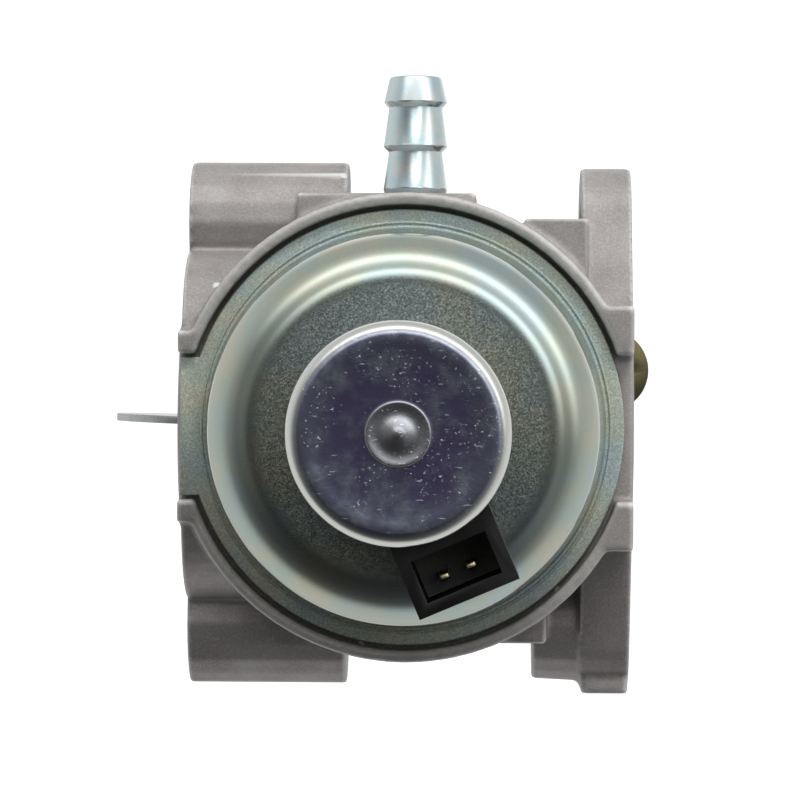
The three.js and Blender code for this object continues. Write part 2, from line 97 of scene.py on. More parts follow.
def linear(hexColour):
    # an sRGB hex value as linear light
    values = [int(hexColour[i:i + 2], 16) / 255 for i in (1, 3, 5)]
    return tuple(v / 12.92 if v <= 0.04045 else ((v + 0.055) / 1.055) ** 2.4 for v in values) + (1,)


def addNode(tree, kind, inputs, output=0, **settings):
    # one node with its settings and links, handed on as the source (node, output)
    node = tree.nodes.new("ShaderNode" + kind)
    for key, value in settings.items():
        setattr(node, key, value)
    feed(tree, node, inputs)
    return node, output


def feed(tree, node, inputs):
    # sets a node's inputs: a source is linked, anything else is a value
    for key, value in (inputs.items() if isinstance(inputs, dict) else enumerate(inputs)):
        if isinstance(value, tuple) and isinstance(value[0], bpy.types.Node):
            tree.links.new(value[0].outputs[value[1]], node.inputs[key])
        else:
            node.inputs[key].default_value = value


def setRamp(source, stops):
    ramp = source[0].color_ramp
    while len(ramp.elements) < len(stops):
        ramp.elements.new(0.5)
    for element, (place, value) in zip(ramp.elements, stops):
        element.position = place
        element.color = linear(value) if isinstance(value, str) else (value, value, value, 1)
    return source


print("studio")
# Brightness of the studio, from straight below the part (0) to straight above it (1): two strong soft
# boxes on the high side, a dim fill from the sides and a dark low side with a pale wall behind it.
studio = {
    "highSide": [(0, 0.08), (0.004, 0.1), (0.012, 0.8), (0.025, 2.0), (0.04, 2.6), (0.055, 2.2), (0.07, 1.0),
                 (0.09, 0.85), (0.144, 1.1), (0.19, 1.9), (0.22, 2.6), (0.26, 2.4), (0.3, 1.6), (0.35, 0.95),
                 (0.4, 0.8), (0.505, 0.6), (0.63, 0.62), (0.77, 0.6), (0.92, 1.0), (0.985, 1.2)],
    "sides": [(0, 0.04), (0.017, 0.08), (0.046, 0.24), (0.089, 0.26), (0.144, 0.24), (0.215, 0.36),
              (0.298, 0.46), (0.393, 0.6), (0.505, 0.68), (0.629, 0.74), (0.767, 0.78), (0.92, 0.7),
              (0.97, 0.8), (0.985, 1.2)],
    "lowSide": [(0, 0.03), (0.02, 0.03), (0.14, 0.05), (0.22, 0.08), (0.3, 0.12), (0.36, 0.3), (0.4, 0.46),
                (0.48, 0.68), (0.6, 0.76), (0.8, 0.76), (0.92, 0.6), (0.97, 0.7), (0.985, 1.2)],
    "strength": 4,
    "turn": (0.3, -0.95),  # the way the high side faces, in X and Y
    "lowToSides": (-1.0, 0.0),  # where one side gives way to the next, as the cosine to that way
    "sidesToHigh": (0.12, 0.9),
}


def addStudio():
    world = bpy.data.worlds.new("studio")
    bpy.context.scene.world = world
    world.use_nodes = True
    tree = world.node_tree
    unit = addNode(tree, "VectorMath", [addNode(tree, "TexCoord", {}, "Generated")], operation="NORMALIZE")
    height = addNode(tree, "MapRange", [addNode(tree, "SeparateXYZ", [unit], "Z"), -1.0, 1.0])
    flat = addNode(tree, "VectorMath", [unit, (1, 1, 0)], operation="MULTIPLY")
    around = addNode(tree, "VectorMath", [flat], operation="NORMALIZE")
    facing = addNode(tree, "VectorMath", [around, studio["turn"] + (0,)], "Value", operation="DOT_PRODUCT")
    ramps = {}
    for side in ("highSide", "sides", "lowSide"):
        stops = [(at, value / studio["strength"]) for at, value in studio[side]]
        ramps[side] = setRamp(addNode(tree, "ValToRGB", [height]), stops)
    lower = addNode(tree, "MapRange", [facing, *studio["lowToSides"]], interpolation_type="SMOOTHSTEP")
    upper = addNode(tree, "MapRange", [facing, *studio["sidesToHigh"]], interpolation_type="SMOOTHSTEP")
    below = addNode(tree, "Mix", {0: lower, 6: ramps["lowSide"], 7: ramps["sides"]}, 2, data_type="RGBA")
    mix = addNode(tree, "Mix", {0: upper, 6: below, 7: ramps["highSide"]}, 2, data_type="RGBA")
    feed(tree, tree.nodes["Background"], {"Color": mix, "Strength": studio["strength"]})
    bpy.context.scene.view_settings.view_transform = "Standard"


addStudio()

print("lamp and floor")
lamp = {"from": (0.28, -0.75, -0.6), "away": 1.4, "size": 0.45, "watts": 100, "aimZ": -20}


def addLamp():
    # one soft box up and to the right, for the dull castings: its shadow falls to the lower left
    light = bpy.data.lights.new("soft box", "AREA")
    light.shape = "SQUARE"
    light.size = lamp["size"]
    light.energy = lamp["watts"]
    box = bpy.data.objects.new("soft box", light)
    direction = Vector(lamp["from"]).normalized()
    box.location = Vector((bowlAt.x, 0, lamp["aimZ"])) * mm + direction * lamp["away"]
    box.rotation_euler = direction.to_track_quat("Z", "Y").to_euler()
    box.visible_glossy = False  # the polished metal sees only the studio
    bpy.context.scene.collection.objects.link(box)


addLamp()


ground = {"below": 0.75, "across": 12, "colour": "#f2f2f0", "rough": 0.9}


def addFloor():
    bpy.ops.object.select_all(action="DESELECT")
    bpy.ops.mesh.primitive_plane_add(size=ground["across"], location=(0, 0, -ground["below"]))
    floor = bpy.context.object
    floor.name = "floor"
    paint = bpy.data.materials.new("pale studio floor")
    paint.use_nodes = True
    shader = paint.node_tree.nodes["Principled BSDF"]
    shader.inputs["Base Color"].default_value = linear(ground["colour"])
    shader.inputs["Roughness"].default_value = ground["rough"]
    floor.data.materials.append(paint)
    floor.visible_glossy = False  # the metal sees the studio, not the floor
    floor.visible_diffuse = False


addFloor()


def clearSelection():
    if bpy.context.object and bpy.context.object.mode != "OBJECT":
        bpy.ops.object.mode_set(mode="OBJECT")
    bpy.ops.object.select_all(action="DESELECT")


def pick(piece):
    clearSelection()
    piece.select_set(True)
    bpy.context.view_layer.objects.active = piece


def applyModifier(piece, kind, **settings):
    pick(piece)
    modifier = piece.modifiers.new(kind.lower(), kind)
    for key, value in settings.items():
        setattr(modifier, key, value)
    bpy.ops.object.modifier_apply(modifier=modifier.name)


def settle(piece, place=(0, 0, 0), turn=(0, 0, 0)):
    # moves a piece drawn at the origin to its place, and leaves that place in its mesh
    pick(piece)
    piece.rotation_euler = [math.radians(angle) for angle in turn]
    piece.location = Vector(place) * mm
    bpy.ops.object.transform_apply(location=True, rotation=True, scale=True)
    return piece


def cutWith(piece, *tools, operation="DIFFERENCE"):
    for tool in tools:
        applyModifier(piece, "BOOLEAN", object=tool, operation=operation, solver="EXACT")
        bpy.data.objects.remove(tool)
    return piece


def smooth(piece, angle=35):
    pick(piece)
    bpy.ops.object.shade_smooth_by_angle(angle=math.radians(angle))
    return piece


def roundEdges(piece, width, segments=2, angle=35):
    applyModifier(piece, "BEVEL", width=width * mm, segments=segments, limit_method="ANGLE",
                  angle_limit=math.radians(angle), harden_normals=False)
    return smooth(piece)


def cube(low, high):
    clearSelection()
    size = Vector(high) - Vector(low)
    bpy.ops.mesh.primitive_cube_add(size=1, location=(Vector(low) + Vector(high)) / 2 * mm, scale=size * mm)
    bpy.ops.object.transform_apply(location=True, rotation=True, scale=True)
    return bpy.context.object


def rod(radius, low, high, at=(0, 0), sides=64):
    clearSelection()
    place = Vector((at[0], at[1], (low + high) / 2)) * mm
    bpy.ops.mesh.primitive_cylinder_add(vertices=sides, radius=radius * mm, depth=(high - low) * mm,
                                        location=place)
    bpy.ops.object.transform_apply(location=True, rotation=True, scale=True)
    return bpy.context.object


def arc(centre, radius, start, end, count=8):
    # points of a round stretch of a profile, from one angle in degrees to another
    angles = [math.radians(start + (end - start) * i / count) for i in range(count + 1)]
    return [(centre[0] + radius * math.cos(a), centre[1] + radius * math.sin(a)) for a in angles]


def turnPiece(name, profile, ring=False, steps=96):
    # one vertex is drawn out along the profile, as [radius, height], then spun about the upright axis
    clearSelection()
    bpy.ops.mesh.primitive_plane_add(size=mm)
    piece = bpy.context.object
    piece.name = name
    points = [Vector((r, 0, z)) * mm for r, z in profile]
    if ring:
        points.append(points[0])
    bpy.ops.object.mode_set(mode="EDIT")
    bpy.ops.mesh.select_mode(type="VERT")
    bpy.ops.mesh.select_all(action="SELECT")
    bpy.ops.mesh.merge(type="CENTER")
    bpy.ops.transform.translate(value=points[0])
    for start, end in zip(points, points[1:]):
        bpy.ops.mesh.extrude_region_move(TRANSFORM_OT_translate={"value": end - start})
    bpy.ops.mesh.select_all(action="SELECT")
    bpy.ops.mesh.spin(steps=steps, angle=2 * math.pi, center=(0, 0, 0), axis=(0, 0, 1))
    bpy.ops.mesh.select_all(action="SELECT")
    bpy.ops.mesh.remove_doubles(threshold=1e-6)
    bpy.ops.mesh.select_all(action="SELECT")
    bpy.ops.mesh.normals_make_consistent(inside=False)
    bpy.ops.object.mode_set(mode="OBJECT")
    return smooth(piece, 30)


def copyNode(node, name):
    # a merged copy of a CAD node, free of its triangulated flat faces
    piece = bpy.data.objects.new(name, nodes[node].data.copy())
    bpy.context.scene.collection.objects.link(piece)
    piece.data.materials.clear()
    pick(piece)
    bpy.ops.object.mode_set(mode="EDIT")
    bpy.ops.mesh.select_all(action="SELECT")
    bpy.ops.mesh.remove_doubles(threshold=2e-6)
    bpy.ops.mesh.customdata_custom_splitnormals_clear()
    bpy.ops.mesh.select_all(action="SELECT")
    bpy.ops.mesh.dissolve_limited(angle_limit=math.radians(0.5))
    bpy.ops.object.mode_set(mode="OBJECT")
    return piece


def fitPiece(piece, node, material):
    # the finished piece stands for its CAD node and moves with that node's body
    piece.data.materials.clear()
    piece.data.materials.append(material)
    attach(piece, bodyOf[node])
    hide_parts(node)
    return piece


def windSpring(name, radius, wire, low, high, turns, sides=10):
    # a small ring swept up its helix, with its cut ends closed
    clearSelection()
    rise = high - low - 2 * wire
    bpy.ops.mesh.primitive_circle_add(vertices=sides, radius=wire * mm, fill_type="NOTHING",
                                      rotation=(math.pi / 2, 0, 0),
                                      location=(radius * mm, 0, (low + wire) * mm))
    piece = bpy.context.object
    piece.name = name
    bpy.ops.object.transform_apply(location=True, rotation=True, scale=True)
    applyModifier(piece, "SCREW", angle=2 * math.pi * turns, screw_offset=rise * mm, iterations=1,
                  steps=round(28 * turns), render_steps=round(28 * turns), axis="Z", use_smooth_shade=True)
    bpy.ops.object.mode_set(mode="EDIT")
    bpy.ops.mesh.select_all(action="DESELECT")
    bpy.ops.mesh.select_mode(type="EDGE")
    bpy.ops.mesh.select_non_manifold()
    bpy.ops.mesh.edge_face_add()
    bpy.ops.mesh.select_all(action="SELECT")
    bpy.ops.mesh.normals_make_consistent(inside=False)
    bpy.ops.object.mode_set(mode="OBJECT")
    return smooth(piece, 50)


def newMaterial(name):
    material = bpy.data.materials.new(name)
    material.use_nodes = True
    tree = material.node_tree
    return material, tree, tree.nodes["Principled BSDF"], addNode(tree, "TexCoord", {}, "Object")


def fromAxis(tree, place):
    # distance from the bowl's upright axis
    offset = addNode(tree, "VectorMath", [place, Vector((bowlAt.x, bowlAt.y, 0)) * mm], operation="SUBTRACT")
    flat = addNode(tree, "VectorMath", [offset, (1, 1, 0)], operation="MULTIPLY")
    return addNode(tree, "VectorMath", [flat], "Value", operation="LENGTH")


print("materials")
castColours = {"base": "#989492", "stain": "#85807e", "pale": "#b9b6b4", "worn": "#d6d5d2", "rough": 0.47,
               "metal": 0.5, "grainMm": 0.3, "stainMm": 7}


def castAluminium():
    # sand-blasted die casting: warm grey, grainy, stained in patches, with pale worn edges
    material, tree, shader, place = newMaterial("cast aluminium, as cast")
    grain = addNode(tree, "TexNoise", {"Vector": place, "Scale": 1 / (castColours["grainMm"] * mm),
                                       "Detail": 3, "Roughness": 0.6})
    patches = addNode(tree, "TexNoise", {"Vector": place, "Scale": 1 / (castColours["stainMm"] * mm),
                                         "Detail": 4, "Roughness": 0.6})
    worn = addNode(tree, "MapRange", [addNode(tree, "NewGeometry", {}, "Pointiness"), 0.515, 0.58])
    stains = addNode(tree, "MapRange", [patches, 0.35, 0.75])
    colour = addNode(tree, "Mix", {0: stains, 6: linear(castColours["base"]),
                                   7: linear(castColours["stain"])}, 2, data_type="RGBA")
    speckle = addNode(tree, "MapRange", [grain, 0.45, 0.7, 0, 0.4])
    mottled = addNode(tree, "Mix", {0: speckle, 6: colour, 7: linear(castColours["pale"])}, 2,
                      data_type="RGBA")
    rough = castColours["rough"]
    feed(tree, shader, {
        "Base Color": addNode(tree, "Mix", {0: worn, 6: mottled, 7: linear(castColours["worn"])}, 2,
                              data_type="RGBA"),
        "Roughness": addNode(tree, "MapRange", [patches, 0.3, 0.7, rough - 0.06, rough + 0.08]),
        "Metallic": castColours["metal"],
        "Normal": addNode(tree, "Bump", {"Strength": 0.3, "Distance": 0.08 * mm, "Height": grain}),
    })
    return material


zincColours = {"green": "#b2beb3", "yellow": "#bebfae", "blue": "#aebdbd", "white": "#e2e6e0",
               "dark": "#474b44", "rough": 0.17, "flatRough": 0.27, "rimRough": 0.55, "rimDull": 0.45,
               "grainMm": 0.2, "shimmerMm": 9, "flatRadius": 18, "rimRadius": 25.2}


def platedZinc():
    # clear-passivated zinc sheet: a faint green, blue and straw shimmer, smooth on the pressed bend,
    # grainy on the flat bottom and dull on the flange
    material, tree, shader, place = newMaterial("clear-passivated zinc sheet")
    c = zincColours
    radius = fromAxis(tree, place)
    outside = addNode(tree, "MapRange", [radius, (c["rimRadius"] - 0.4) * mm, (c["rimRadius"] + 0.3) * mm])
    inside = addNode(tree, "MapRange", [radius, (c["flatRadius"] + 0.8) * mm, (c["flatRadius"] - 1.2) * mm])
    grainy = addNode(tree, "Math", [outside, inside], operation="MAXIMUM", use_clamp=True)
    fine = addNode(tree, "TexNoise", {"Vector": place, "Scale": 1 / (c["grainMm"] * mm),
                                      "Detail": 4, "Roughness": 0.7})
    shimmer = addNode(tree, "TexNoise", {"Vector": place, "Scale": 1 / (c["shimmerMm"] * mm),
                                         "Detail": 2, "Roughness": 0.5})
    tint = setRamp(addNode(tree, "ValToRGB", [shimmer]),
                   [(0.36, c["yellow"]), (0.5, c["green"]), (0.62, c["blue"])])
    flatShare = addNode(tree, "MapRange", [inside, 0, 1, 0, 0.5])
    rimShare = addNode(tree, "MapRange", [outside, 0, 1, 0, 0.1])
    darkening = addNode(tree, "Math", [flatShare, rimShare], operation="ADD", use_clamp=True)
    anyShare = addNode(tree, "MapRange", [grainy, 0, 1, 0.04, 0.35])
    darkShare = addNode(tree, "Math", [darkening, anyShare], operation="ADD", use_clamp=True)
    hollows = addNode(tree, "MapRange", [fine, 0.6, 0.36])
    darkSpots = addNode(tree, "Math", [hollows, darkShare], operation="MULTIPLY", use_clamp=True)
    speckled = addNode(tree, "Mix", {0: darkSpots, 6: tint, 7: linear(c["dark"])}, 2, data_type="RGBA")
    peaks = addNode(tree, "MapRange", [fine, 0.54, 0.7])
    paleShare = addNode(tree, "MapRange", [grainy, 0, 1, 0.1, 0.5])
    paleSpots = addNode(tree, "Math", [peaks, paleShare], operation="MULTIPLY", use_clamp=True)
    bottomRough = addNode(tree, "MapRange", [inside, 0, 1, c["rough"], c["flatRough"]])
    rimRough = addNode(tree, "MapRange", [outside, 0, 1, 0, c["rimRough"]])
    relief = addNode(tree, "MapRange", [grainy, 0, 1, 0.12, 1])
    height = addNode(tree, "Math", [fine, relief], operation="MULTIPLY", use_clamp=True)
    feed(tree, shader, {
        "Base Color": addNode(tree, "Mix", {0: paleSpots, 6: speckled, 7: linear(c["white"])}, 2,
                              data_type="RGBA"),
        "Roughness": addNode(tree, "Math", [bottomRough, rimRough], operation="MAXIMUM", use_clamp=True),
        "Metallic": addNode(tree, "MapRange", [outside, 0, 1, 0.97, 1 - c["rimDull"]]),
        "Normal": addNode(tree, "Bump", {"Strength": 0.22, "Distance": 0.08 * mm, "Height": height}),
    })
    return material


# rim: the pale colour painted on the rounded edge and side wall, a painted highlight
capColours = {"face": "#726d93", "cloud": "#a2abb9", "button": "#bfc1bf", "rim": "#dcdfda",
              "speck": "#eef0f2", "rough": 0.17, "faceRough": 0.26, "rimFrom": 11.35, "buttonTo": 4.0,
              "cloudMm": 3.2, "speckMm": 0.42, "handledMm": 4.5, "scratchMm": 0.25, "scratchTurn": 35}


def cannedZinc():
    # the drawn can: violet-blue passivate on the face with cloudy patches, handling specks and fine
    # scratches; the rounded edge and the side beyond it are painted pale as a painted highlight
    material, tree, shader, place = newMaterial("clear-passivated zinc, drawn can")
    c = capColours
    radius = fromAxis(tree, place)
    # mask of the rounded edge and the side wall, where the pale painted highlight goes
    rim = addNode(tree, "MapRange", [radius, c["rimFrom"] * mm, (c["rimFrom"] + 0.7) * mm])
    outer = addNode(tree, "MapRange", [radius, 7.5 * mm, 11 * mm, 0, 0.45])
    clouds = addNode(tree, "TexNoise", {"Vector": place, "Scale": 1 / (c["cloudMm"] * mm),
                                        "Detail": 5, "Roughness": 0.7})
    patchy = addNode(tree, "MapRange", [clouds, 0.46, 0.66, 0, 0.8])
    cloudy = addNode(tree, "Math", [patchy, outer], operation="ADD", use_clamp=True)
    speckNoise = addNode(tree, "TexNoise", {"Vector": place, "Scale": 1 / (c["speckMm"] * mm),
                                            "Detail": 2, "Roughness": 0.7})
    specks = addNode(tree, "MapRange", [speckNoise, 0.64, 0.7])
    handledNoise = addNode(tree, "TexNoise", {"Vector": place, "Scale": 1 / (c["handledMm"] * mm),
                                              "Detail": 2, "Roughness": 0.5})
    handled = addNode(tree, "MapRange", [handledNoise, 0.45, 0.58])
    speck = addNode(tree, "Math", [specks, handled], operation="MULTIPLY", use_clamp=True)
    stretched = addNode(tree, "Mapping", {"Vector": place, "Scale": (0.16, 1, 1),
                                          "Rotation": (0, 0, math.radians(c["scratchTurn"]))})
    scratches = addNode(tree, "TexNoise", {"Vector": stretched, "Scale": 1 / (c["scratchMm"] * mm),
                                           "Detail": 1, "Roughness": 0.4})
    scratched = addNode(tree, "MapRange", [scratches, 0.73, 0.78, 0, 0.6])
    marks = addNode(tree, "Math", [speck, scratched], operation="MAXIMUM", use_clamp=True)
    staked = addNode(tree, "MapRange", [radius, c["buttonTo"] * mm, (c["buttonTo"] - 0.3) * mm, 0, 0.65])
    stained = addNode(tree, "Mix", {0: cloudy, 6: linear(c["face"]), 7: linear(c["cloud"])}, 2,
                      data_type="RGBA")
    face = addNode(tree, "Mix", {0: staked, 6: stained, 7: linear(c["button"])}, 2, data_type="RGBA")
    marked = addNode(tree, "Mix", {0: marks, 6: face, 7: linear(c["speck"])}, 2, data_type="RGBA")
    swell = addNode(tree, "MapRange", [clouds, 0.3, 0.7, 0, 0.6])
    raised = addNode(tree, "Math", [marks, 0.6], operation="MULTIPLY", use_clamp=True)
    height = addNode(tree, "Math", [swell, raised], operation="ADD", use_clamp=True)
    feed(tree, shader, {
        # painted highlight: the pale rim colour laid over the rounded edge and the side wall
        "Base Color": addNode(tree, "Mix", {0: rim, 6: marked, 7: linear(c["rim"])}, 2, data_type="RGBA"),
        "Roughness": addNode(tree, "MapRange", [rim, 0, 1, c["faceRough"], c["rough"]]),
        "Metallic": 0.96,
        "Normal": addNode(tree, "Bump", {"Strength": 0.3, "Distance": 0.06 * mm, "Height": height}),
    })
    return material


def metalOf(name, colour, rough, grainMm=0.3, bumpMm=0.02, spot=None):
    # turned or drawn metal with fine marks; the second colour shows in soft spots
    material, tree, shader, place = newMaterial(name)
    fine = addNode(tree, "TexNoise", {"Vector": place, "Scale": 1 / (grainMm * mm),
                                      "Detail": 3, "Roughness": 0.6})
    softNoise = addNode(tree, "TexNoise", {"Vector": place, "Scale": 1 / (grainMm * 9 * mm),
                                           "Detail": 3, "Roughness": 0.6})
    soft = addNode(tree, "MapRange", [softNoise, 0.4, 0.66])
    feed(tree, shader, {
        "Base Color": addNode(tree, "Mix", {0: soft, 6: linear(colour), 7: linear(spot or colour)}, 2,
                              data_type="RGBA"),
        "Roughness": addNode(tree, "MapRange", [fine, 0.3, 0.7, rough * 0.85, rough * 1.2]),
        "Metallic": 1,
        "Normal": addNode(tree, "Bump", {"Strength": 0.3, "Distance": bumpMm * mm, "Height": fine}),
    })
    return material


def softOf(name, colour, rough, grainMm=0.2, bumpMm=0.03):
    # moulded plastic or rubber with a fine matt grain and slight fading
    material, tree, shader, place = newMaterial(name)
    fine = addNode(tree, "TexNoise", {"Vector": place, "Scale": 1 / (grainMm * mm),
                                      "Detail": 2, "Roughness": 0.5})
    softNoise = addNode(tree, "TexNoise", {"Vector": place, "Scale": 1 / (4 * mm),
                                           "Detail": 3, "Roughness": 0.6})
    soft = addNode(tree, "MapRange", [softNoise, 0.35, 0.75])
    base = linear(colour)
    faded = tuple(min(1, v * 1.5 + 0.004) for v in base[:3]) + (1,)
    feed(tree, shader, {
        "Base Color": addNode(tree, "Mix", {0: soft, 6: base, 7: faded}, 2, data_type="RGBA"),
        "Roughness": addNode(tree, "MapRange", [fine, 0.3, 0.7, rough * 0.9, rough * 1.1]),
        "Normal": addNode(tree, "Bump", {"Strength": 0.4, "Distance": bumpMm * mm, "Height": fine}),
    })
    return material


look = {
    "cast_aluminium": castAluminium(),
    "zinc_steel": platedZinc(),
    "bright_zinc": metalOf("bright zinc plate", "#c9dfe5", 0.22, 0.3, 0.015, "#dde2e0"),
    "yellow_zinc": metalOf("yellow chromate zinc", "#756d4e", 0.34, 0.3, 0.02, "#68664e"),
    "steel": metalOf("bright steel", "#b8bab8", 0.26, 0.25, 0.015, "#a9abab"),
    "brass": metalOf("turned brass", "#d8b878", 0.26, 0.25, 0.015, "#c2a468"),
    "copper_wire": metalOf("enamelled copper wire", "#b8693c", 0.32),
    "black_plastic": softOf("black moulded plastic", "#0d0d0d", 0.42),
    "nylon": softOf("natural nylon", "#c9c4b2", 0.45),
    "black_rubber": softOf("black rubber", "#141312", 0.7),
    "tin_pin": metalOf("pale brass pin", "#f4e6bc", 0.36),
    "spring_steel": metalOf("spring steel wire", "#9a9c9c", 0.28),
    "can": cannedZinc(),
    "plate": metalOf("bright zinc, brushed sheet", "#bdc0bf", 0.3, 0.22, 0.02, "#a9adae"),
}


print("casting")
casting = {"voxel": 0.34, "smoothSteps": 5, "triangles": 190000}


def modelCasting():
    piece = copyNode("body_casting", "body_casting_cast")
    applyModifier(piece, "REMESH", mode="VOXEL", voxel_size=casting["voxel"] * mm, adaptivity=0.0)
    applyModifier(piece, "SMOOTH", factor=0.5, iterations=casting["smoothSteps"])
    applyModifier(piece, "TRIANGULATE")
    count = len(piece.data.polygons)
    if count > casting["triangles"]:
        applyModifier(piece, "DECIMATE", ratio=casting["triangles"] / count)
    pick(piece)
    bpy.ops.object.shade_smooth()
    return fitPiece(piece, "body_casting", look["cast_aluminium"])


modelCasting()

print("bowl")
bowl = {"flange": 27.6, "thick": 1, "top": -18.5, "bottom": -42.5, "ring": 25.55, "fillet": 0.35, "bead": 0.2,
        "beadOut": 0.35, "bend": 5.9, "bendAt": 18.0, "hole": 4.1, "tabReach": 28.6, "tabHalf": 8.75,
        "tabBevel": 0.18, "edge": 0.2}


def bowlWall(inset):
    # one face of the sheet, from the flange fillet round the bend to the flat bottom
    radius = bowl["fillet"]
    fillet = arc((bowl["ring"], bowl["top"] - bowl["thick"] - radius), radius + inset, 90, 176, 8)
    bend = arc((bowl["bendAt"], bowl["bottom"] + bowl["bend"]), bowl["bend"] - inset, -3, -90, 20)
    return fillet + bend


def modelBowl():
    edge, rim, top, thick = bowl["edge"], bowl["flange"] - bowl["edge"], bowl["top"], bowl["thick"]
    under, bottom, hole = top - thick, bowl["bottom"], bowl["hole"]
    bead = arc((bowl["ring"] + bowl["beadOut"], under), bowl["bead"], 0, -180, 8)
    flange = [(rim, top)] + arc((rim, top - edge), edge, 60, 0, 2) + arc((rim, under + edge), edge, 0, -90, 4)
    rimOfHole = [(hole + edge, bottom), (hole, bottom + edge), (hole, bottom + thick)]
    profile = flange + bead + bowlWall(0) + rimOfHole + bowlWall(thick)[::-1]
    piece = turnPiece("float_bowl_pressed", profile, ring=True, steps=160)
    half = bowl["tabHalf"]
    tab = cube((-bowl["tabReach"], -half, under), (-bowl["ring"] - 0.2, half, top))
    roundEdges(tab, bowl["tabBevel"])
    cutWith(piece, tab, operation="UNION")
    smooth(settle(piece, (bowlAt.x, 0, 0)), 30)
    return fitPiece(piece, "float_bowl", look["zinc_steel"])


modelBowl()

print("solenoid can")
can = {"radius": 12.83, "wall": 0.9, "top": -44.3, "end": -68.5, "edge": 1.66, "dish": 0.12, "hole": 3.6,
       "windowHalf": 4.6, "windowLow": -56.6, "windowHigh": -48.4,
       "plugTurn": math.degrees(math.atan2(0.9205, 0.3907))}  # the way the connector points


def modelCan():
    edge, end, wall, radius = can["edge"], can["end"], can["wall"], can["radius"]
    inner = radius - wall
    face = [(can["hole"], end + can["dish"]), (radius - edge - 2.2, end + can["dish"]),
            (radius - edge - 1.1, end + can["dish"] * 0.45)]
    profile = (face + arc((radius - edge, end + edge), edge, -90, 0, 10)
               + [(radius, can["top"] - 0.15), (radius - 0.15, can["top"]), (inner, can["top"])]
               + arc((inner - 0.8, end + wall + 0.8), 0.8, 0, -90, 4) + [(can["hole"], end + wall)])
    piece = turnPiece("solenoid_can_drawn", profile, ring=True, steps=144)
    half = can["windowHalf"]
    cutWith(piece, cube((9, -half, can["windowLow"]), (15, half, can["windowHigh"])))
    smooth(settle(piece, (bowlAt.x, 0, 0), (0, 0, can["plugTurn"])), 30)
    return fitPiece(piece, "solenoid_can", look["can"])


pole = {"button": 3.8, "end": -69.05, "seat": -68.5, "neck": 3.3, "shoulder": -67.6, "core": 4.6,
        "top": -58.2,
        "dome": [(0, -69.4), (0.5, -69.38), (0.95, -69.26), (1.5, -69.06), (2.1, -68.97), (2.7, -68.95)]}


def modelPole():
    button, end, seat, neck, core = pole["button"], pole["end"], pole["seat"], pole["neck"], pole["core"]
    profile = (pole["dome"] + [(3.15, end + 0.03)] + arc((button - 0.25, end + 0.25), 0.25, -100, 0, 6)
               + [(button, seat), (neck, seat), (neck, pole["shoulder"]), (core, pole["shoulder"]),
                  (core, pole["top"]), (0, pole["top"])])
    piece = turnPiece("solenoid_pole_turned", profile, steps=96)
    settle(piece, (bowlAt.x, 0, 0))
    return fitPiece(piece, "solenoid_pole", look["can"])


modelCan()
modelPole()

print("fuel barb")
barb = {"stem": 2.6, "bore": 1.9, "face": 29.8, "tip": 45.1, "x": -28.1, "z": -9.5}


def modelBarb():
    start, tip = barb["face"], barb["tip"]
    profile = [(barb["bore"], start - 4), (barb["stem"], start - 4), (barb["stem"], start),
               (3.75, start), (3.95, start + 0.2), (4.12, start + 0.7), (4.15, start + 0.85),
               (4.1, start + 1.0), (3.5, start + 5.2), (3.5, start + 5.6), (4.1, start + 6.2),
               (4.15, start + 6.35), (4.1, start + 6.5), (3.5, start + 10.9), (3.5, start + 11.3),
               (4.05, start + 11.9), (4.1, start + 12.05), (4.05, start + 12.2), (3.42, tip - 0.35),
               (3.3, tip - 0.12), (3.1, tip), (2.1, tip), (barb["bore"], tip - 0.2)]
    piece = turnPiece("fuel_inlet_barb_turned", profile, ring=True, steps=96)
    settle(piece, (barb["x"], 0, barb["z"]), (90, 0, 0))
    return fitPiece(piece, "fuel_inlet_barb", look["bright_zinc"])


modelBarb()

print("connector")
plug = {"bevel": 0.3, "pinAt": 17.4, "pinApart": 3.4, "pinHalf": (0.5, 0.7), "pinLow": -56.3,
        "pinHigh": -48.05, "pinTaper": 0.55, "pinTip": (0.5, 0.62), "pinBevel": 0.16}


def modelPin(name, side):
    # a flat blade, its end drawn in to a blunt tip
    across, along = plug["pinHalf"]
    pin = cube((-across, -along, plug["pinLow"]), (across, along, plug["pinHigh"]))
    pin.name = name
    bpy.ops.object.mode_set(mode="EDIT")
    bpy.ops.mesh.select_mode(type="FACE")
    bpy.ops.mesh.select_all(action="SELECT")
    bpy.ops.mesh.bisect(plane_co=(0, 0, (plug["pinLow"] + plug["pinTaper"]) * mm), plane_no=(0, 0, 1))
    bpy.ops.mesh.select_all(action="DESELECT")
    bpy.ops.object.mode_set(mode="OBJECT")
    for face in pin.data.polygons:
        face.select = face.center.z < (plug["pinLow"] + 0.1) * mm
    bpy.ops.object.mode_set(mode="EDIT")
    bpy.ops.transform.resize(value=(*plug["pinTip"], 1))
    bpy.ops.object.mode_set(mode="OBJECT")
    roundEdges(pin, plug["pinBevel"], 4, 25)
    settle(pin, (plug["pinAt"], side * plug["pinApart"] / 2, 0))
    settle(pin, (bowlAt.x, 0, 0), (0, 0, can["plugTurn"]))
    return pin


def modelConnector():
    piece = copyNode("solenoid_connector", "solenoid_connector_moulded")
    roundEdges(piece, plug["bevel"], 3, 40)
    fitPiece(piece, "solenoid_connector", look["black_plastic"])
    for number, side in ((1, -1), (2, 1)):
        fitPiece(modelPin(f"terminal_pin_{number}_formed", side), f"terminal_pin_{number}", look["tin_pin"])


modelConnector()

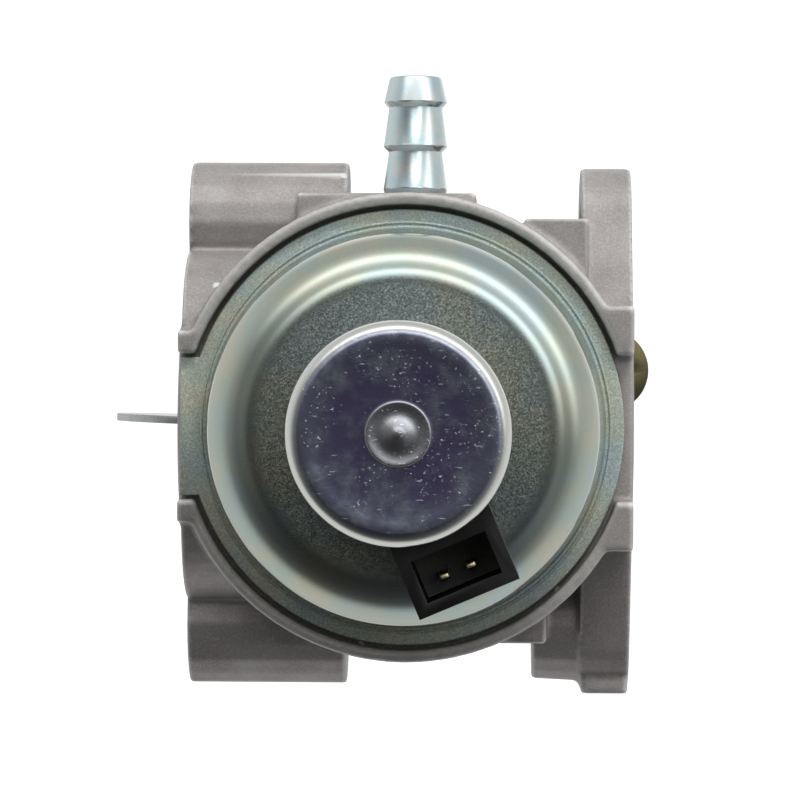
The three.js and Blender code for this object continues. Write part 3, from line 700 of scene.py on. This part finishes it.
print("valves")
valves = {
    "choke": {"at": chokeAt, "plate": 15.0, "turn": 1.75, "screws": 6.5, "low": -16.6, "boss": 20.5,
              "lever": 24.6},
    "throttle": {"at": throttleAt, "plate": 11.5, "turn": -100.0, "screws": 5.0, "low": -15.4, "boss": 16.5,
                 "lever": 22.3},
}
shaft = {"radius": 2.5, "neck": 1.8, "plateThick": 1.0, "plateEdge": 0.14, "gap": 0.05, "tapped": 1.3,
         "screwHole": 1.2, "seal": 4.4, "sealHole": 2.65, "sealHigh": 1.2, "springRadius": 3.6,
         "springWire": 0.4, "springPitch": 1.05}
lever = {"thick": 1.4, "hole": 2.1, "head": 3.0, "headHigh": 2.4, "shank": 1.0, "bevel": 0.12}


def placeValve(piece, valve):
    return settle(piece, (valve["at"].x, 0, 0), (0, 0, valve["turn"]))


def crossSlot(width, depth, top, reach):
    # a driver's slot cut in a screw's flat top
    return cube((-reach, -width / 2, top - depth), (reach, width / 2, top + 1))


def modelValve(name):
    valve = valves[name]
    gap, thick, shoulder = shaft["gap"], lever["thick"], valve["lever"] - shaft["gap"]
    end = valve["lever"] + thick - 0.1
    low, body, neck = valve["low"], shaft["radius"], shaft["neck"]
    profile = [(0, low), (body - 0.25, low), (body, low + 0.25), (body, shoulder - 0.15),
               (body - 0.15, shoulder), (neck, shoulder), (neck, end - 0.1), (neck - 0.1, end), (0, end)]
    stem = turnPiece(f"{name}_shaft_turned", profile, steps=64)
    reach = valve["plate"] + 0.3
    cutWith(stem, cube((-4, -4, -reach), (4, gap, reach)),
            rod(shaft["tapped"], valve["lever"] - 5, end + 1, sides=32))
    for place in (-valve["screws"], valve["screws"]):
        hole = rod(shaft["screwHole"], -2, 4, sides=32)
        settle(hole, (0, 0, place), (-90, 0, 0))
        cutWith(stem, hole)
    placeValve(stem, valve)
    fitPiece(smooth(stem, 30), f"{name}_shaft", look["steel"])

    radius, edge, plateHigh = valve["plate"], shaft["plateEdge"], shaft["plateThick"]
    profile = ([(0, 0), (radius - edge, 0)] + arc((radius - edge, edge), edge, -90, 0, 3)
               + arc((radius - edge, plateHigh - edge), edge, 0, 90, 3) + [(0, plateHigh)])
    plate = turnPiece(f"{name}_plate_pressed", profile, steps=128)
    for place in (-valve["screws"], valve["screws"]):
        cutWith(plate, rod(shaft["screwHole"], -1, 2, at=(0, place), sides=40))
    settle(plate, (0, 0, 0), (90, 0, 0))
    placeValve(plate, valve)
    fitPiece(smooth(plate, 30), f"{name}_plate", look["plate"])

    outer, inner, high = shaft["seal"], shaft["sealHole"], shaft["sealHigh"]
    profile = [(inner, 0), (outer - 0.2, 0), (outer, 0.2), (outer, high - 0.2), (outer - 0.2, high),
               (inner + 0.25, high), (inner, high - 0.25)]
    seal = turnPiece(f"{name}_shaft_seal_moulded", profile, ring=True, steps=64)
    settle(seal, (valve["at"].x, 0, valve["boss"]))
    fitPiece(seal, f"{name}_shaft_seal", look["black_rubber"])

    springLow, springHigh = valve["boss"] + high + 0.1, valve["lever"] - 0.15
    turns = int((springHigh - springLow) / shaft["springPitch"])
    spring = windSpring(f"{name}_return_spring_wound", shaft["springRadius"], shaft["springWire"], springLow,
                        springHigh, turns)
    settle(spring, (valve["at"].x, 0, 0))
    fitPiece(spring, f"{name}_return_spring", look["spring_steel"])


for valveName in valves:
    modelValve(valveName)

print("screws")
screws = {"plateHead": 2.2, "plateShank": 0.9, "plateDeep": 0.1, "leverDeep": 0.12, "pitch": 0.5, "slot": 0.8,
          "slotDeep": 0.9}


def thread(radius, low, high, pitch, deep):
    # the zigzag outline of a threaded stretch
    points, place = [], low
    while place + pitch <= high:
        points += [(radius - deep, place), (radius, place + pitch / 2)]
        place += pitch
    return points + [(radius - deep, place)]


def modelPlateScrews():
    gap, shank, head = shaft["gap"], screws["plateShank"], screws["plateHead"]
    under, top = -shaft["plateThick"] - gap, -shaft["plateThick"] - 1.1
    profile = ([(0, top - 0.05), (1.2, top)] + arc((head - 0.6, top + 0.65), 0.6, -80, 0, 5)
               + [(head, under - 0.1), (head - 0.1, under), (shank, under)]
               + thread(shank, under + 0.3, 1.5, screws["pitch"], screws["plateDeep"]) + [(0, 1.6)])
    model = turnPiece("plate_screw_turned", profile, steps=48)
    cutWith(model, cube((-3, -0.3, top - 1), (3, 0.3, top + 0.5)))
    settle(model, (0, 0, 0), (-90, 0, 0))
    for name, valve in valves.items():
        for number, place in ((1, -valve["screws"]), (2, valve["screws"])):
            screw = model.copy()
            screw.data = model.data.copy()
            screw.name = f"{name}_plate_screw_{number}_turned"
            bpy.context.scene.collection.objects.link(screw)
            settle(screw, (0, 0, place))
            placeValve(screw, valve)
            fitPiece(smooth(screw, 30), f"{name}_plate_screw_{number}", look["brass"])
    bpy.data.objects.remove(model)


def modelLeverScrews():
    head, high, shank = lever["head"], lever["headHigh"], lever["shank"]
    profile = ([(0, -4), (shank - 0.2, -4)] + thread(shank, -3.8, -0.2, screws["pitch"], screws["leverDeep"])
               + [(shank, 0), (head - 0.12, 0), (head, 0.12), (head, 1.4)]
               + arc((head - 1.2, 1.2), 1.2, 10, 80, 6) + [(0, high)])
    model = turnPiece("lever_screw_turned", profile, steps=64)
    cutWith(model, crossSlot(screws["slot"], screws["slotDeep"], high, 5))
    for name, valve in valves.items():
        screw = model.copy()
        screw.data = model.data.copy()
        screw.name = f"{name}_lever_screw_turned"
        bpy.context.scene.collection.objects.link(screw)
        settle(screw, (valve["at"].x, 0, valve["lever"] + lever["thick"] + shaft["gap"]))
        fitPiece(smooth(screw, 30), f"{name}_lever_screw", look["bright_zinc"])
    bpy.data.objects.remove(model)


modelPlateScrews()
modelLeverScrews()

print("levers")
arms = {
    "choke": {"hub": 4.6, "end": (0.0, 16.0), "endRadius": 3.2, "endHole": 1.3},
    "throttle": {"hub": 5.0, "end": (10.1, -7.4), "endRadius": 5.7, "endHole": 1.6},
}


def modelLever(name):
    arm, valve, thick = arms[name], valves[name], lever["thick"]
    hub, end = rod(arm["hub"], 0, thick, sides=64), rod(arm["endRadius"], 0, thick, at=arm["end"], sides=72)
    clearSelection()
    hub.select_set(True)
    end.select_set(True)
    bpy.context.view_layer.objects.active = hub
    bpy.ops.object.join()
    hub.name = f"{name}_lever_stamped"
    bpy.ops.object.mode_set(mode="EDIT")
    bpy.ops.mesh.select_all(action="SELECT")
    bpy.ops.mesh.convex_hull()
    bpy.ops.mesh.select_all(action="SELECT")
    bpy.ops.mesh.dissolve_limited(angle_limit=math.radians(1))
    bpy.ops.object.mode_set(mode="OBJECT")
    if name == "throttle":
        cutWith(hub, cube((-1.7, 3, 0), (1.7, 10.5, thick)), operation="UNION")
        cutWith(hub, cube((-1.7, 6.2, -2.6), (-0.4, 10.2, thick + 2)), operation="UNION")
    cutWith(hub, rod(lever["hole"], -1, thick + 1, sides=48),
            rod(arm["endHole"], -1, thick + 1, at=arm["end"], sides=48))
    roundEdges(hub, lever["bevel"], 2, 40)
    settle(hub, (valve["at"].x, 0, valve["lever"]))
    return fitPiece(hub, f"{name}_lever", look["yellow_zinc"])


for valveName in valves:
    modelLever(valveName)

print("adjusters and small parts")
small = {
    "idleY": 8.2, "idleZ": 22.8, "idleHead": (-33.5, -31.0), "idleTip": -13.8, "post": -25.0,
    "idleSpring": (2.6, 0.35),  # radius and wire
    "mixture": (-24.0, -9.0), "mixtureHead": (17.0, 20.5), "mixtureBoss": 12.5, "mixtureSpring": (2.05, 0.35),
    "pilot": (-36.0, 8.0), "pilotBoss": 14.05, "pilotTop": 16.0,
    "cup": (-38.0, -6.0), "cupFloor": 13.6, "cupRadius": 3.4,
}


def modelIdleScrew():
    low, high, tip = small["idleHead"][0], small["idleHead"][1], small["idleTip"]
    profile = ([(0, low), (2.8, low), (3.4, low + 0.5), (3.4, high - 0.3), (3.1, high), (1.75, high)]
               + thread(1.9, high + 0.2, tip - 0.8, 0.6, 0.16) + [(1.75, tip - 0.5), (1.3, tip), (0, tip)])
    piece = turnPiece("idle_speed_screw_turned", profile, steps=48)
    cutWith(piece, cube((-4, -0.4, low - 1), (4, 0.4, low + 0.9)))
    settle(piece, (0, small["idleY"], small["idleZ"]), (0, 90, 0))
    fitPiece(smooth(piece, 30), "idle_speed_screw", look["bright_zinc"])
    spring = windSpring("idle_speed_spring_wound", *small["idleSpring"], high, small["post"], 4)
    settle(spring, (0, small["idleY"], small["idleZ"]), (0, 90, 0))
    fitPiece(spring, "idle_speed_spring", look["spring_steel"])


def modelMixtureScrew():
    low, high = small["mixtureHead"]
    x, y = small["mixture"]
    profile = ([(0, 5), (0.4, 5), (1.3, 7.6)] + thread(1.5, 7.8, low - 0.2, 0.5, 0.14)
               + [(1.4, low), (2.8, low), (3.0, low + 0.2), (3.0, high - 0.3), (2.7, high), (0, high)])
    piece = turnPiece("idle_mixture_screw_turned", profile, steps=48)
    cutWith(piece, crossSlot(screws["slot"], screws["slotDeep"], high, 4))
    settle(piece, (x, y, 0))
    fitPiece(smooth(piece, 30), "idle_mixture_screw", look["brass"])
    spring = windSpring("mixture_screw_spring_wound", *small["mixtureSpring"], small["mixtureBoss"], low, 4)
    settle(spring, (x, y, 0))
    fitPiece(spring, "mixture_screw_spring", look["spring_steel"])


def modelPilotAndCup():
    under, top = small["pilotBoss"], small["pilotTop"]
    profile = [(0, 9), (1.6, 9), (1.8, 9.2), (1.8, under), (2.45, under), (2.6, under + 0.15),
               (2.6, top - 0.25), (2.35, top), (0, top)]
    jet = turnPiece("pilot_jet_turned", profile, steps=48)
    cutWith(jet, crossSlot(0.7, 0.8, top, 4))
    settle(jet, (small["pilot"][0], small["pilot"][1], 0))
    fitPiece(smooth(jet, 30), "pilot_jet", look["brass"])
    floor, radius = small["cupFloor"], small["cupRadius"]
    profile = ([(0, floor), (radius, floor), (radius, floor + 1)]
               + arc((radius - 0.3, floor + 0.9), 0.1, 0, 90, 2)
               + [(radius - 0.6, floor + 0.5), (radius - 1.1, floor + 0.3), (0, floor + 0.24)])
    cup = turnPiece("cup_plug_pressed", profile, steps=64)
    settle(cup, (small["cup"][0], small["cup"][1], 0))
    fitPiece(cup, "cup_plug", look["steel"])


modelIdleScrew()
modelMixtureScrew()
modelPilotAndCup()

rings = {
    "bowl_gasket": {"outer": 26.9, "inner": 24.7, "low": -18.5, "high": -16.9},
    "solenoid_gasket": {"outer": 7.6, "inner": 4.1, "low": -43.3, "high": -42.5},
}


def modelRing(name):
    size = rings[name]
    low, high, inner, outer, edge = size["low"], size["high"], size["inner"], size["outer"], 0.12
    profile = ([(inner, low)] + arc((outer - edge, low + edge), edge, -90, 0, 3)
               + arc((outer - edge, high - edge), edge, 0, 90, 3) + [(inner, high)])
    piece = turnPiece(f"{name}_cut", profile, ring=True, steps=128)
    settle(piece, (bowlAt.x, 0, 0))
    return fitPiece(piece, name, look["black_rubber"])


for ringName in rings:
    modelRing(ringName)


def paintInside():
    # the pieces left inside keep their CAD shapes; their slots take the same metals and plastics
    for name, node in nodes.items():
        for slot in node.material_slots:
            if slotOf.get(name) in look:
                slot.material = look[slotOf[name]]


paintInside()
